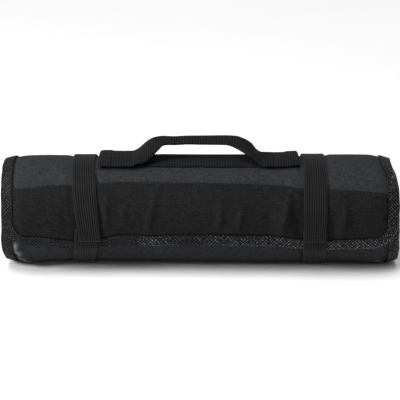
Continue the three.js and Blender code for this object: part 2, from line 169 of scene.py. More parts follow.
def laps_at(angle):
    """Laps passed at an angle, counted from the bottom and held still where it is flat."""
    turns = (-angle - 180) / 360
    whole = np.floor(turns)
    return whole + smoothstep(turns - whole, FLAT_TURNS, 1 - FLAT_TURNS)


def boxed(value):
    """A sine or cosine for an outline a little squarer than an ellipse."""
    return np.sign(value) * np.abs(value) ** (2 / OUTLINE_POWER)


def outline_height(cosine):
    """The outline's height from its cosine, flattened at the bottom where it stands."""
    start = FLAT_SHARE - FLAT_BLEND
    deep = np.minimum(-cosine, FLAT_SHARE + FLAT_BLEND) - start
    return np.where(deep < 0, cosine, deep * deep / (4 * FLAT_BLEND) - deep - start)


def middle_line(turn, x):
    """The cloth's middle in a section of the roll, as y and z from the roll's centre."""
    angle = FLAP_ANGLE + shape_at(x, "slip") - 360 * turn
    laps = laps_at(angle)
    inset = (CLOTH / 2 + LAP_PITCH * (laps + 0.25)
             + FLAP_TUCK * (1 - smoothstep(turn, 0, TUCK_TURNS))
             + CORE_CURL * np.maximum(0, turn - CORE_TURN) ** 2)
    size = 1 + shape_at(x, "swell")
    away = turn - DENT_TURN - np.round(turn - DENT_TURN)
    dent = shape_at(x, "dent") * ROLL_DEPTH * np.exp(-(away / DENT_SPREAD) ** 2)
    y = dent - (ROLL_DEPTH / 2 * size - inset) * boxed(np.sin(np.radians(angle)))
    z = (ROLL_HEIGHT / 2 * size - inset) * outline_height(boxed(np.cos(np.radians(angle))))
    return y, z - shape_at(x, "drop") * ROLL_HEIGHT - LAP_SAG * laps


# How far the cloth has run after each bit of a turn, at the middle of the roll.
MOST_TURNS, STEPS_PER_TURN = 2.4, 900
MARCH_TURNS = np.arange(0, MOST_TURNS, 1 / STEPS_PER_TURN)
MARCH_RUNS = length_so_far(np.stack(middle_line(MARCH_TURNS, np.zeros_like(MARCH_TURNS)), axis=-1))


def turn_at(run):
    ahead = np.minimum(run, 0) * MARCH_TURNS[1] / MARCH_RUNS[1]
    return np.interp(run, MARCH_RUNS, MARCH_TURNS) + ahead


def run_at(turn):
    return np.interp(turn, MARCH_TURNS, MARCH_RUNS)


# Soft folds of the front: x, run at their middle, half width, half length, height and slant.
FOLDS = [
    (-44.0, 27.0, 3.4, 15.0, 2.0, 0.22),
    (18.0, 25.0, 3.4, 14.0, 1.8, 0.14),
    (36.0, 22.0, 3.4, 11.0, 1.8, 0.16),
    (76.5, 27.0, 3.6, 16.0, 3.2, 0.20),
    (62.0, 24.0, 6.0, 16.0, -1.0, 0.10),
    (87.0, 24.0, 3.6, 14.0, -1.6, -0.10),
    (128.5, 25.0, 3.6, 13.0, 2.6, 0.10),
    (-84.0, 28.0, 3.2, 17.0, 1.5, 0.06),
    (-68.0, 24.0, 3.2, 12.0, 1.1, 0.12),
    (-128.0, 24.0, 6.0, 16.0, 0.8, 0.10),
    (119.0, 22.0, 4.0, 12.0, -1.1, 0.0),
    (-146.0, 30.0, 8.0, 14.0, 0.6, 0.0),
    (152.0, 32.0, 8.0, 14.0, 0.8, 0.0),
]
# Long soft waves of the outer lap: turns per roll length, turns per lap, start and height.
WAVES = [
    (2.3, 1.0, 0.4, 0.22),
    (3.7, -2.0, 1.9, 0.20),
    (5.9, 3.0, 4.1, 0.14),
    (9.1, -1.0, 2.7, 0.10),
    (13.7, 4.0, 0.9, 0.07),
]
OUTER_LAP = (0.80, 0.95)  # the turns over which the folds and waves fade out
FREE_OF_END = (8, 34)  # how far from an end they begin, and are full
STAND_REACH = 0.07  # turns to each side of the bottom without them
BASE_REACH = 0.055  # turns to each side of the handle with few of them

# How far each strap wanders along the roll, as shares of a turn from its root and of its width.
DRIFT = {
    -1: ((0.0, 0.14, 0.80, 0.92, 1.04), (0.14, -0.09, -0.09, 0.06, 0.28)),
    1: ((0.0, 0.20, 0.80, 1.04), (-0.04, 0.02, 0.0, -0.06)),
}
SQUEEZE = {-1: 1.0, 1: 0.9}  # how deep each strap presses into the roll
SQUEEZE_FOOT = (0.5, 6.0)  # how far past a strap its dent begins to ease, and ends


def strap_x(side, turns):
    """The middle of a strap at an angle, counted on from its root."""
    drift = np.interp((turns - STRAP_ROOT) / 360, *DRIFT[side]) * STRAP_WIDTH
    return side * STRAP_PLACE + drift


def squeeze(run, x):
    """How far the straps press the cloth inwards."""
    angle = (FLAP_ANGLE - 360 * turn_at(run)) % 360
    turns = np.where(angle < STRAP_END - 360, angle + 360, angle)
    dent = 0
    for side, depth in SQUEEZE.items():
        beside = np.abs(x - strap_x(side, turns)) - STRAP_WIDTH / 2
        dent = dent + depth * (1 - smoothstep(beside, *SQUEEZE_FOOT))
    return dent


def relief(run, x):
    """How far the folds and waves lift the cloth, at a place on it."""
    turn = turn_at(run)
    outer = 1 - smoothstep(turn, *OUTER_LAP)
    free = smoothstep(HALF_CLOTH - np.abs(x), *FREE_OF_END)
    lift = np.zeros(np.broadcast(run, x).shape)
    for fold_x, fold_run, wide, long, height, slant in FOLDS:
        across = (x - fold_x - slant * (run - fold_run)) / wide
        lift = lift + height * np.exp(-across ** 2 - ((run - fold_run) / long) ** 2)
    for per_length, per_lap, start, height in WAVES:
        phase = per_length * x / ROLL_LENGTH + per_lap * turn
        lift = lift + height * np.sin(2 * np.pi * phase + start)
    bottom = np.exp(-((turn - (FLAP_ANGLE + 180) / 360) / STAND_REACH) ** 2)
    under_base = np.exp(-((turn - FLAP_ANGLE / 360) / BASE_REACH) ** 4)
    return lift * outer * free * (1 - bottom) * (1 - 0.8 * under_base)


LEFT_CRUMPLE = (0.985, -165)  # turn and x where its slanted ridge begins
LEFT_CRUMPLE_FALL = (0.10, 8)  # how far down it goes, in turns, and to the right meanwhile
RIGHT_CRUMPLE = (0.92, 163)
RIGHT_WRINKLES_RUN = 262


def crumple(run, x):
    """The crumpled lap under the flap: a ridge and creases at its left, wrinkles at its right."""
    turn = turn_at(run)
    down = (LEFT_CRUMPLE[0] - turn) / LEFT_CRUMPLE_FALL[0]
    beside = x - LEFT_CRUMPLE[1] - LEFT_CRUMPLE_FALL[1] * down
    ridge = np.where(beside < 0, np.exp(-(beside / 2.2) ** 2), np.exp(-(beside / 5.0) ** 2))
    hollow = np.exp(-((beside - 8) / 3.5) ** 2)
    creases = 1 - 2 * np.abs(np.sin(0.36 * beside + 2.2 * down))
    near = np.exp(-((beside - 4) / 9) ** 2)
    left = (2.2 * ridge - 1.2 * hollow + 0.7 * near * creases) * smoothstep(down, -0.1, 0.2)
    left = left * (1 - 0.6 * smoothstep(down, 0.6, 1.0)) * (1 - smoothstep(down, 1.0, 1.4))
    turn_off, x_off = turn - RIGHT_CRUMPLE[0], x - RIGHT_CRUMPLE[1]
    right = np.exp(-(x_off / 7) ** 2 - (turn_off / 0.04) ** 2)
    wrinkles = 1 - 2 * np.abs(np.sin(x_off * 0.3 + (run - RIGHT_WRINKLES_RUN) * 0.2))
    return left + right * (0.3 + 0.9 * wrinkles)


# How far each end strays to the right by turns from the flap's edge: turn, left end, right end.
STRAY = np.array([
    (-0.05, -0.8, 1.2), (0.00, -0.9, 1.2), (0.10, -1.0, 1.6), (0.17, -1.4, 1.6),
    (0.21, -2.2, 0.2), (0.26, -2.6, -3.2), (0.33, -2.6, -1.4), (0.45, -2.0, 0.0),
    (0.62, -1.4, 1.4), (0.80, -1.0, 3.6), (0.88, -1.6, 4.4), (0.97, -3.2, 3.8),
    (1.10, -1.0, 2.0), (1.40, 0.6, -1.2), (1.75, -0.8, 0.9), (2.10, 0.4, -0.8),
])
STRAY_TURNS, STRAY_ENDS = smooth_table(STRAY[:, 0], STRAY[:, 1:], 0.005, 0.018)
STRAY_FROM = 95  # from the roll's middle to where the ends begin to stray


def stray(turn, x):
    """How far the cloth strays along the roll, at its ends only."""
    left, right = (np.interp(turn, STRAY_TURNS, v) for v in STRAY_ENDS)
    share = smoothstep(np.abs(x), STRAY_FROM, HALF_CLOTH)
    return share * np.where(x < 0, left, right)


ASIDE = 0.002  # turns to either side, for the cloth's slope


def cloth_point(run, x, rise):
    """Points at places on the cloth, raised from its middle."""
    run, x, rise = np.broadcast_arrays(*(np.asarray(v, float) for v in (run, x, rise)))
    turn = turn_at(run)
    y, z = middle_line(turn, x)
    y1, z1 = middle_line(turn + ASIDE, x)
    y0, z0 = middle_line(turn - ASIDE, x)
    dy, dz = y1 - y0, z1 - z0
    size = np.hypot(dy, dz)
    lift = rise + relief(run, x) + crumple(run, x) - squeeze(run, x)
    return np.stack([x + stray(turn, x), y - dz / size * lift, z + dy / size * lift], axis=-1)


def round_end(distance, reach, least):
    """How full an edge is, from 0 to 1, at a distance in from it."""
    return np.sqrt(np.clip(distance / reach + least, 0, 1))


# -------- meshes
def outward(mesh):
    """Turns all faces of a closed mesh outwards if it is inside out."""
    mesh.calc_loop_triangles()
    at = np.zeros(len(mesh.vertices) * 3)
    mesh.vertices.foreach_get("co", at)
    tri = np.zeros(len(mesh.loop_triangles) * 3, np.int32)
    mesh.loop_triangles.foreach_get("vertices", tri)
    a, b, c = at.reshape(-1, 3)[tri.reshape(-1, 3)].transpose(1, 0, 2)
    if np.einsum("ij,ij->i", a, np.cross(b, c)).sum() < 0:
        mesh.flip_normals()


def mesh_object(name, points, faces, uvs=None):
    """A closed mesh from points round the roll's centre; uvs are in millimetres too."""
    mesh = bpy.data.meshes.new(name)
    at = (np.asarray(points).reshape(-1, 3) + np.array(ROLL_CENTRE)) * MM
    mesh.from_pydata(at.tolist(), [], [tuple(int(i) for i in face) for face in faces])
    if uvs is not None:
        layer = mesh.uv_layers.new(name="cloth")
        loops = np.zeros(len(mesh.loops), np.int32)
        mesh.loops.foreach_get("vertex_index", loops)
        flat = np.asarray(uvs).reshape(-1, 2)
        layer.data.foreach_set("uv", (flat[loops] * MM).astype(np.float32).ravel())
    mesh.validate()
    mesh.polygons.foreach_set("use_smooth", np.full(len(mesh.polygons), True))
    mesh.update()
    outward(mesh)
    obj = bpy.data.objects.new(name, mesh)
    bpy.context.collection.objects.link(obj)
    return obj


def slab(name, upper, lower, uvs):
    """A closed slab between two grids of points."""
    rows, columns = upper.shape[:2]
    under = rows * columns
    index = np.arange(under).reshape(rows, columns)
    a, b, c, d = index[:-1, :-1], index[:-1, 1:], index[1:, 1:], index[1:, :-1]
    faces = list(zip(a.ravel(), b.ravel(), c.ravel(), d.ravel()))
    faces += [(q[3] + under, q[2] + under, q[1] + under, q[0] + under) for q in faces]
    rim = np.concatenate([index[0, :-1], index[:-1, -1], index[-1, :0:-1], index[:0:-1, 0]])
    after = np.roll(rim, -1)
    faces += list(zip(after, rim, rim + under, after + under))
    points = np.concatenate([upper.reshape(-1, 3), lower.reshape(-1, 3)])
    both = np.concatenate([uvs.reshape(-1, 2), uvs.reshape(-1, 2)])
    return mesh_object(name, points, faces, both)


def sweep(name, rings, uvs, closed):
    """A solid swept through rings of points, closed on itself or with flat ends."""
    count, size = rings.shape[:2]
    index = np.arange(count * size).reshape(count, size)
    nxt = np.roll(index, -1, axis=0) if closed else index[1:]
    here = index if closed else index[:-1]
    a, b = here, np.roll(here, -1, axis=1)
    d, c = nxt, np.roll(nxt, -1, axis=1)
    faces = list(zip(a.ravel(), d.ravel(), c.ravel(), b.ravel()))
    if not closed:
        faces += [tuple(index[0]), tuple(index[-1][::-1])]
    return mesh_object(name, rings, faces, uvs)


def cloth_map(along, across):
    """The map of a swept piece, from places along it and places round its section."""
    return np.stack(np.meshgrid(along, across, indexing="ij"), axis=-1)


def corner_cut(distance, radius):
    """How much a round corner takes off, at a distance from the edge beside it."""
    left = np.maximum(0, radius - distance)
    return radius - np.sqrt(radius ** 2 - left ** 2)


def drawn_to(x, full, kept, half):
    """Places along a row, full to each side, moved beyond kept so that it ends at half."""
    beyond = np.maximum(0, np.abs(x) - kept) / (full - kept)
    return np.sign(x) * (np.minimum(np.abs(x), kept) + beyond * (half - kept))


def spread(ends, first, last, fine, coarse):
    """Places from first to last, fine near both and coarse between."""
    low = np.arange(0, ends, fine)
    steps = max(2, int(round((last - first - 2 * ends) / coarse)))
    mid = np.linspace(first + ends, last - ends, steps + 1)
    return np.concatenate([first + low, mid, (last - low)[::-1]])


# -------- materials
PAINTED_HIGHLIGHT_TONE = 0.13  # the colour of the painted highlights on grey cloth
SELVAGE = 1.1  # how wide a strap's lighter selvages are
SEALED_END = 1.4  # and how long its lighter end
ASLANT = 0.707  # the sine of 45 degrees, the slant of a twill


class Nodes:
    """A short way to build a material's nodes."""

    def __init__(self, name):
        self.material = bpy.data.materials.new(name)
        self.material.use_nodes = True
        self.tree = self.material.node_tree
        self.tree.nodes.clear()
        out = self.tree.nodes.new("ShaderNodeOutputMaterial")
        self.shader = self.tree.nodes.new("ShaderNodeBsdfPrincipled")
        self.tree.links.new(self.shader.outputs[0], out.inputs[0])

    def add(self, kind, inputs=(), **settings):
        node = self.tree.nodes.new(kind)
        for key, value in settings.items():
            setattr(node, key, value)
        for key, value in dict(inputs).items():
            self.feed(node.inputs[key], value)
        return node

    def feed(self, socket, value):
        if isinstance(value, bpy.types.NodeSocket):
            self.tree.links.new(value, socket)
        else:
            socket.default_value = value

    def math(self, operation, *values, clamp=False):
        node = self.add("ShaderNodeMath", operation=operation, use_clamp=clamp)
        for socket, value in zip(node.inputs, values):
            self.feed(socket, value)
        return node.outputs[0]

    def times(self, *values, clamp=False):
        return self.math("MULTIPLY", *values, clamp=clamp)

    def minus(self, *values, clamp=False):
        return self.math("SUBTRACT", *values, clamp=clamp)

    def plus(self, *values):
        return self.math("ADD", *values)

    def scaled(self, value, gain, offset):
        """A value times a gain, plus an offset."""
        return self.math("MULTIPLY_ADD", value, gain, offset)

    def cloth_places(self):
        """The two places of the cloth's own map, in millimetres."""
        uv = self.add("ShaderNodeUVMap", uv_map="cloth").outputs[0]
        parts = self.add("ShaderNodeSeparateXYZ", {0: uv}).outputs
        return self.times(parts[0], 1 / MM), self.times(parts[1], 1 / MM)

    def noise(self, scale, detail, roughness, vector=None):
        if vector is None:
            vector = self.add("ShaderNodeTexCoord").outputs["Object"]
        settings = {"Vector": vector, "Scale": scale, "Detail": detail, "Roughness": roughness}
        return self.add("ShaderNodeTexNoise", settings).outputs[0]

    def ridges(self, place, pitch):
        """Round ridges across a place, from 0 to 1, with one on top at place 0."""
        wave = self.math("COSINE", self.times(place, 2 * math.pi / pitch))
        return self.scaled(wave, 0.5, 0.5)

    def streaks(self, along, across, long, thin):
        """Noise drawn out along one way of the cloth, from 0 to 1: the uneven yarns."""
        places = {0: self.math("DIVIDE", along, long), 1: self.math("DIVIDE", across, thin)}
        return self.noise(1.0, 2.0, 0.6, self.add("ShaderNodeCombineXYZ", places).outputs[0])

    def mixed(self, *parts):
        """The sum of pairs of a value and its weight."""
        total = None
        for value, weight in parts:
            part = self.times(value, weight)
            total = part if total is None else self.plus(total, part)
        return total

    def blend(self, share, first, second):
        """A share, up to 1, of a second colour over the first."""
        node = self.add("ShaderNodeMix", {0: share, 6: first, 7: (*second, 1)},
                        data_type="RGBA", clamp_factor=True)
        return node.outputs[2]

    def ramp(self, value, low, high, low_at=0.0, high_at=1.0):
        """A colour that goes from low to high as a value goes from low_at to high_at."""
        node = self.add("ShaderNodeValToRGB", {0: value})
        first, last = node.color_ramp.elements
        first.position, last.position = low_at, high_at
        first.color, last.color = (*low, 1), (*high, 1)
        return node.outputs[0]

    def finish(self, colour, rough, height, relief_mm, specular, sheen=0.0, sheen_rough=0.5):
        """Sets the shader and gives the finished material."""
        depth = {"Height": height, "Distance": relief_mm * MM, "Strength": 1.0}
        bump = self.add("ShaderNodeBump", depth)
        self.feed(self.shader.inputs["Base Color"], colour)
        self.feed(self.shader.inputs["Roughness"], rough)
        self.feed(self.shader.inputs["Normal"], bump.outputs[0])
        self.shader.inputs["Sheen Weight"].default_value = sheen
        self.shader.inputs["Sheen Roughness"].default_value = sheen_rough
        self.shader.inputs["Specular IOR Level"].default_value = specular
        return self.material


def grey(value, tint=0.0):
    """A nearly neutral colour, a little bluer with more tint."""
    return (value * (1 - 0.35 * tint), value, value * (1 + tint))


def oxford(name, dark, light, tint, pitch, painted_highlights=()):
    """Coated Oxford cloth: a basket weave of uneven yarns, with soft changes of colour.

    A painted highlight is a run, an x, a reach in millimetres and how much lighter the cloth is
    painted there, where its crumpled ridges catch the light.
    """
    n = Nodes(name)
    run, x = n.cloth_places()
    weft, warp = n.ridges(run, pitch), n.ridges(x, pitch * 1.1)
    weave = n.math("ABSOLUTE", n.minus(weft, warp))
    along_x, along_run = n.streaks(x, run, 7.0, 1.5), n.streaks(run, x, 6.0, 1.5)
    cloudy, speck = n.noise(45.0, 4.0, 0.6), n.noise(420.0, 2.0, 0.6)
    tone = n.mixed((weave, 0.10), (along_x, 0.36), (along_run, 0.28), (cloudy, 0.14),
                   (speck, 0.30))
    # Painted highlights: the colour is made lighter where the crumpled ridges catch the light.
    painted_highlight = 0.0
    for run_at, x_at, reach, gain in painted_highlights:
        off_run, off_x = n.minus(run, run_at), n.minus(x, x_at)
        away = n.plus(n.math("POWER", off_run, 2.0), n.math("POWER", off_x, 2.0))
        near = n.minus(1.0, n.math("DIVIDE", away, reach * reach), clamp=True)
        painted_highlight = n.plus(painted_highlight, n.times(near, n.times(along_run, gain)))
    colour = n.ramp(tone, grey(dark, tint), grey(light, tint), 0.43, 0.73)
    if painted_highlights:
        colour = n.blend(painted_highlight, colour, grey(PAINTED_HIGHLIGHT_TONE, tint))
    rough = n.scaled(cloudy, 0.16, 0.56)
    height = n.mixed((weave, 0.5), (along_x, 0.6), (along_run, 0.6))
    return n.finish(colour, rough, height, 0.40, 0.07)


def webbing(name, dark, light, rib, pick, gloss, half=None):
    """Woven webbing with ribs along it and picks across it, each by its pitch and its share.

    Where half its width is given, its selvages and its sealed end are lighter.
    """
    n = Nodes(name)
    along, across = n.cloth_places()
    ribs, picks = n.ridges(across, rib[0]), n.ridges(along, pick[0])
    streak = n.streaks(along, across, 9.0, 1.4)
    cloudy, speck = n.noise(45.0, 3.0, 0.6), n.noise(520.0, 2.0, 0.6)
    tone = n.mixed((ribs, rib[1]), (picks, pick[1]), (streak, 0.26), (cloudy, 0.16), (speck, 0.20))
    if half:
        beyond = n.minus(n.math("ABSOLUTE", across), half - SELVAGE)
        selvage = n.times(beyond, 2.0, clamp=True)
        sealed = n.minus(SEALED_END, along, clamp=True)
        trim = n.math("MAXIMUM", n.times(selvage, 0.6), sealed)
        tone = n.plus(tone, n.times(trim, 0.40))
    colour = n.ramp(tone, grey(dark, 0.05), grey(light, 0.05), 0.28, 0.86)
    rough = n.scaled(speck, 0.2, 0.48)
    height = n.mixed((ribs, 0.6), (picks, 0.4), (speck, 0.3))
    return n.finish(colour, rough, height, 0.30, gloss, gloss * 0.6, 0.4)


def twill_tape(name, dark, light, pitch):
    """Twill tape whose yarns cross each other aslant, with painted glints on some of them.

    The painted glints come in patches, more of them to the right, as in the photo.
    A painted highlight runs along its edge, and its inner margin gets painted shade.
    """
    n = Nodes(name)
    along, across = n.cloth_places()
    over = n.times(n.plus(along, across), ASLANT)
    down = n.times(n.minus(along, across), ASLANT)
    rib, cross = n.ridges(over, pitch), n.ridges(down, 1.25 * pitch)
    weave = n.times(n.math("POWER", rib, 1.5), n.scaled(cross, 0.75, 0.25))
    fleck = n.streaks(down, over, 1.9, 1.1)
    # Painted glints: bright flecks in the colour for yarns that would catch the light.
    painted_glint_mask = n.minus(n.times(fleck, 7.5), 3.6, clamp=True)
    place = n.add("ShaderNodeSeparateXYZ", {0: n.add("ShaderNodeTexCoord").outputs["Object"]})
    # Painted glint patches, more of them towards the right end, where the binding is lit brighter.
    cloudy = n.mixed((n.noise(31.0, 2.0, 0.5), 5.0), (place.outputs[0], 6.5))
    painted_glint_patches = n.minus(cloudy, 2.4, clamp=True)
    # Painted shade: the glints fade out on the tape's inner margin, in the groove by the panel.
    inner = n.times(n.minus(across, 0.4), 0.8, clamp=True)
    painted_glints = n.times(n.times(weave, painted_glint_mask), n.scaled(painted_glint_patches, 0.70, 0.31))
    # A painted highlight along the tape's edge, where it folds round the cloth.
    beside = n.math("ABSOLUTE", n.minus(across, TAPE_WIDTH + 0.9))
    edge = n.times(n.minus(1.0, beside, clamp=True), painted_glint_patches)
    painted_glints = n.mixed((n.times(painted_glints, inner), 1.0), (edge, 0.14))
    speck = n.noise(700.0, 2.0, 0.6)
    tone = n.mixed((painted_glints, 0.90), (weave, 0.06), (speck, 0.05))
    colour = n.ramp(tone, grey(dark, 0.04), grey(light, 0.04), 0.03, 0.90)
    rough = n.scaled(painted_glints, -0.25, 0.62)
    height = n.mixed((weave, 0.8), (speck, 0.3))
    return n.finish(colour, rough, height, 0.35, 0.08)


def thread(name, dark, light):
    """Twisted sewing thread."""
    n = Nodes(name)
    twist = n.noise(1400.0, 2.0, 0.6)
    colour = n.ramp(twist, grey(dark, 0.03), grey(light, 0.03), 0.3, 0.75)
    rough = n.scaled(twist, 0.2, 0.45)
    return n.finish(colour, rough, twist, 0.15, 0.25, 0.02)


# Painted highlights on the crumpled lap's ridges: run, x, reach and how much lighter.
CRUMPLE_PAINTED_HIGHLIGHTS = [
    (299, -166, 5.0, 1.8),
    (291, -164, 5.5, 1.5),
    (281, -161, 5.0, 1.2),
    (270, -158, 6.0, 1.4),
    (277, 160, 4.0, 1.6),
]
GREY_CLOTH = oxford("grey_oxford_cloth", 0.0112, 0.0345, 0.09, 1.3, CRUMPLE_PAINTED_HIGHLIGHTS)
BLACK_CLOTH = oxford("black_oxford_cloth", 0.0024, 0.0135, 0.05, 1.3)
# Its light colour, 0.235, is the colour of the painted glints and the painted edge highlight.
TAPE_CLOTH = twill_tape("black_twill_tape", 0.0014, 0.235, 2.0)
STRAP_CLOTH = webbing("black_strap_webbing", 0.0002, 0.0149, (STRAP_RIB, 0.42), (1.6, 0.08),
                      0.08, STRAP_WIDTH / 2)
HANDLE_CLOTH = webbing("black_handle_webbing", 0.0001, 0.0205, (2.2, 0.26), (2.4, 0.24), 0.02)
THREAD = thread("black_thread", 0.005, 0.014)


def dress(obj, material, slot, *nodes):
    """Finishes a piece: its material, its body and the solids it stands for; its slot is not used.
    """
    obj.data.materials.append(material)
    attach(obj, "root")
    if nodes:
        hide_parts(*nodes)
    return obj


# -------- the rolled-up cloth
def cloth_sheet():
    runs = spread(CORNER, 0, CLOTH_RUN, 1.5, 2.6)
    shares = spread(0.1, -1, 1, 0.008, 0.0145)
    end = np.minimum(runs, CLOTH_RUN - runs)
    half = HALF_CLOTH - corner_cut(end, CORNER)
    x = drawn_to(shares * HALF_CLOTH, HALF_CLOTH, HALF_CLOTH - CORNER - 6, half[:, None])
    run = np.repeat(runs[:, None], x.shape[1], axis=1)
    upper, lower = (cloth_point(run, x, rise) for rise in (CLOTH / 2, -CLOTH / 2))
    obj = slab("rolled_cloth", upper, lower, np.stack([run, x], axis=-1))
    return dress(obj, GREY_CLOTH, "grey_cloth", "cloth")


# -------- the panel on the flap
STITCH_PITCH = 3.1
SEAM_STITCH = 2.1  # from the seam down to its row of stitches
SEAM_EDGE = 1.3  # how far in from the seam the panel is rounded over
SEAM_HEM = (0.45, 4.5, 8.0)  # how thick its hem is, and where that eases and ends


def pull(along, across, width, depth):
    """The groove that a row of stitches pulls into cloth, deeper at each needle hole."""
    holes = 0.6 + 0.4 * np.cos(2 * np.pi * along / STITCH_PITCH)
    return -depth * holes * np.exp(-(across / width) ** 2)


def seam_at(x):
    return SEAM_RUN * (1 - shape_at(x, "narrow"))


def panel_rise(run, x):
    """The panel's thickness over the cloth: full inside, and rounded over at the seam."""
    inside = np.maximum(0, seam_at(x) - run)
    share = np.clip(inside / SEAM_EDGE, 0, 1)
    edge = np.sqrt(share * (2 - share))
    hem = SEAM_HEM[0] * (1 - smoothstep(inside, *SEAM_HEM[1:]))
    groove = pull(x, inside - SEAM_STITCH, 0.8, 0.42)
    return PANEL * (0.25 + 0.75 * edge) + hem * edge + groove


DRAWN_IN, DRAWN_IN_X, DRAWN_IN_REACH = 1.8, -130, 26


def drawn_in(x):
    """How much of the tape's width is drawn in towards its edge, near the flap's left corner."""
    return DRAWN_IN * np.exp(-((x - DRAWN_IN_X) / DRAWN_IN_REACH) ** 2)


PANEL_HALF = HALF_CLOTH - EDGE_INSET
PANEL_CORNER = CORNER - EDGE_INSET
STRAIGHT_ROWS = 30  # the run up to which its rows follow the tape, not the seam


def panel():
    near_tape = np.concatenate([np.arange(0, PANEL_CORNER, 0.8) + EDGE_INSET,
                                np.arange(CORNER, STRAIGHT_ROWS, 1.3)])
    near_seam = np.concatenate([np.linspace(0, 0.5, 5)[1:-1], np.linspace(0.5, 1, 18)])
    x_full = np.arange(-1, 1.0001, 1 / 150.0) * PANEL_HALF
    rows = []
    for run in near_tape:
        half = PANEL_HALF - corner_cut(run - EDGE_INSET, PANEL_CORNER)
        x = drawn_to(x_full, PANEL_HALF, PANEL_HALF - PANEL_CORNER - 5, half)
        rows.append((np.full_like(x, run), x))
    last = near_tape[-1]
    for share in near_seam:
        rows.append((last + (seam_at(x_full) - last) * share, x_full))
    run, x = np.array(rows).transpose(1, 0, 2)
    away = np.minimum(run - EDGE_INSET, PANEL_HALF - np.abs(x))
    run = run - drawn_in(x) * np.exp(-((run - EDGE_INSET) / 12) ** 2)
    pucker = 0.10 * np.sin(2 * np.pi * (x + 0.4 * run) / 8.5) * np.exp(-np.maximum(0, away) / 5)
    rise = panel_rise(run, x) * (0.3 + 0.7 * round_end(away, 1.2, 0.06))
    puff = 0.5 * smoothstep(away, 0, 9) * smoothstep(seam_at(x) - run, 3, 14)
    upper = cloth_point(run, x, ON_CLOTH + rise + pucker + puff)
    lower = cloth_point(run, x, np.full_like(run, ON_CLOTH - 0.25))
    obj = slab("front_panel_cloth", upper, lower, np.stack([run, x], axis=-1))
    return dress(obj, BLACK_CLOTH, "black_cloth", "front_panel")


# -------- stitches
def stitch_row(name, centres, alongs, normals, length, thick, sink):
    """Short threads that lie in a row on cloth, thinner and sunk in at both ends."""
    rings, sides = 7, 8
    t = np.linspace(-1, 1, rings)
    width = thick / 2 * np.sqrt(np.clip(1 - np.abs(t) ** 3, 0.04, 1))
    bow = thick * (0.45 - 0.75 * t ** 2) - sink
    angle = np.arange(sides) * 2 * np.pi / sides
    points, faces = [], []
    for centre, along, normal in zip(centres, alongs, normals):
        along = along / np.linalg.norm(along)
        normal = normal - along * np.dot(normal, along)
        normal /= np.linalg.norm(normal)
        side = np.cross(normal, along)
        base = len(points)
        for i in range(rings):
            middle = centre + along * (t[i] * length / 2) + normal * bow[i]
            for a in angle:
                points.append(middle + (side * math.cos(a) + normal * math.sin(a)) * width[i])
        for i in range(rings - 1):
            for j in range(sides):
                k = (j + 1) % sides
                faces.append((base + i * sides + j, base + i * sides + k,
                              base + (i + 1) * sides + k, base + (i + 1) * sides + j))
        faces.append(tuple(base + j for j in range(sides))[::-1])
        faces.append(tuple(base + (rings - 1) * sides + j for j in range(sides)))
    dress(mesh_object(name, points, faces), THREAD, "black_webbing")


def seam_stitches():
    edge = PANEL_HALF - 3
    count = len(np.arange(-edge, edge, STITCH_PITCH))
    xs = (np.round(-edge / STITCH_PITCH) + np.arange(count) + 0.5) * STITCH_PITCH
    runs, rise = seam_at(xs) - SEAM_STITCH, PANEL_TOP + 0.40
    centres = cloth_point(runs, xs, rise)
    normals = cloth_point(runs, xs, rise + 1) - centres
    alongs = np.gradient(centres, axis=0)
    stitch_row("seam_stitches", centres, alongs, normals, 2.3, 0.62, 0.12)


# -------- the binding
TAPE_STITCH = 6.9  # from the cloth's edge in to the tape's stitches


def edge_path(step):
    """Places round the edge of the flat cloth: run, x, the way inwards and the length so far."""
    straight, inner = HALF_CLOTH - CORNER, CLOTH_RUN - CORNER
    runs, xs, in_run, in_x = [], [], [], []

    def line(run0, x0, run1, x1, to_run, to_x):
        count = int(round(math.hypot(run1 - run0, x1 - x0) / step))
        t = np.arange(count) / count
        runs.append(run0 + (run1 - run0) * t)
        xs.append(x0 + (x1 - x0) * t)
        in_run.append(np.full(count, to_run))
        in_x.append(np.full(count, to_x))

    def corner(run, x, start):
        count = int(round(math.pi / 2 * CORNER / step))
        a = np.radians(start + 90 * np.arange(count) / count)
        runs.append(run - CORNER * np.cos(a))
        xs.append(x + CORNER * np.sin(a))
        in_run.append(np.cos(a))
        in_x.append(-np.sin(a))

    line(0, -straight, 0, straight, 1.0, 0.0)
    corner(CORNER, straight, 0)
    line(CORNER, HALF_CLOTH, inner, HALF_CLOTH, 0.0, -1.0)
    corner(inner, straight, 90)
    line(CLOTH_RUN, straight, CLOTH_RUN, -straight, -1.0, 0.0)
    corner(inner, -straight, 180)
    line(inner, -HALF_CLOTH, CORNER, -HALF_CLOTH, 0.0, 1.0)
    corner(CORNER, -straight, 270)
    run, x, to_run, to_x = (np.concatenate(v) for v in (runs, xs, in_run, in_x))
    ahead = np.hypot(np.diff(run, append=run[0]), np.diff(x, append=x[0]))
    return run, x, to_run, to_x, np.concatenate([[0], np.cumsum(ahead)[:-1]])


